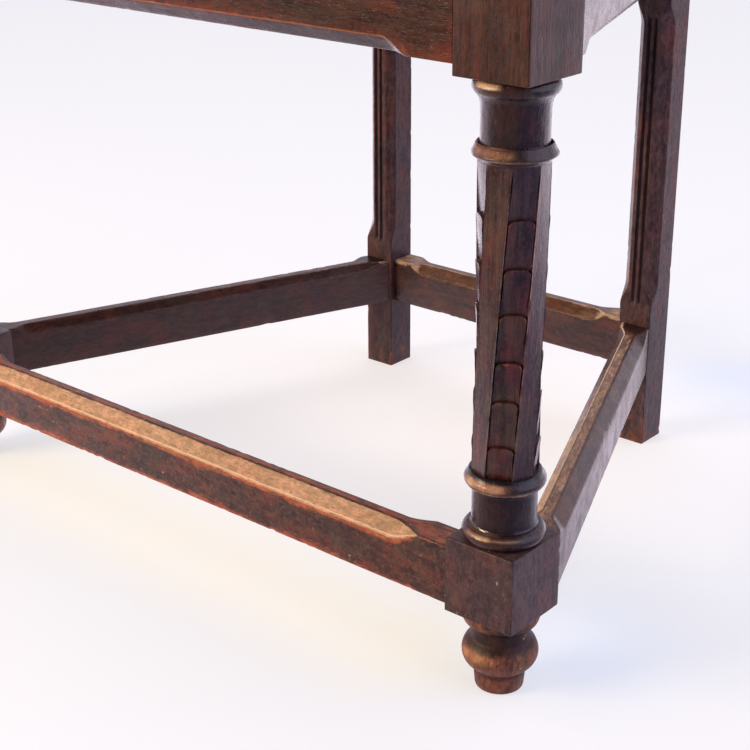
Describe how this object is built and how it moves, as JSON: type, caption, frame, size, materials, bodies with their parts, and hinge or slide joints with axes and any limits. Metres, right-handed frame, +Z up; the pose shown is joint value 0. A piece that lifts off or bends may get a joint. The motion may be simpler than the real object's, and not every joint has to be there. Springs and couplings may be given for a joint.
{
  "type": "caquetoire chair",
  "caption": "Oak conversation armchair with a trapezoid seat, turned and carved front posts, a stretcher ring, bowed arms and a narrow panelled back.",
  "frame": {"origin": "on the floor, in the middle of the chair's outline", "axes": "+Z up, -Y the way the sitter faces, +X towards the sitter's left hand, so the post that the picture shows is at +X, -Y"},
  "size_m": [0.6154, 0.5344, 1.1596],
  "materials": {
    "oak_posts": "dark waxed oak, satin, worn to reddish brown on raised rings and foot",
    "oak_bars": "dark waxed oak, satin, worn pale on the chamfers",
    "oak_seat": "dark waxed oak, polished by use",
    "oak_panels": "dark waxed carved oak",
    "oak_pegs": "end grain of cleft oak pegs"
  },
  "bodies": {
    "root": {"front_post_left": "oak_posts", "front_post_right": "oak_posts", "back_post_left": "oak_posts", "back_post_right": "oak_posts", "front_stretcher": "oak_bars", "back_stretcher": "oak_bars", "side_stretcher_left": "oak_bars", "side_stretcher_right": "oak_bars", "front_rail": "oak_bars", "back_rail": "oak_bars", "side_rail_left": "oak_bars", "side_rail_right": "oak_bars", "seat_board_front": "oak_seat", "seat_board_middle": "oak_seat", "seat_board_back": "oak_seat", "seat_pegs": "oak_pegs", "arm_left": "oak_seat", "arm_right": "oak_seat", "back_rail_lower": "oak_bars", "back_rail_middle": "oak_bars", "back_rail_top": "oak_bars", "back_panel_lower": "oak_panels", "back_panel_upper": "oak_panels", "crest": "oak_panels", "finial_left": "oak_posts", "finial_right": "oak_posts"}
  },
  "joints": []
}
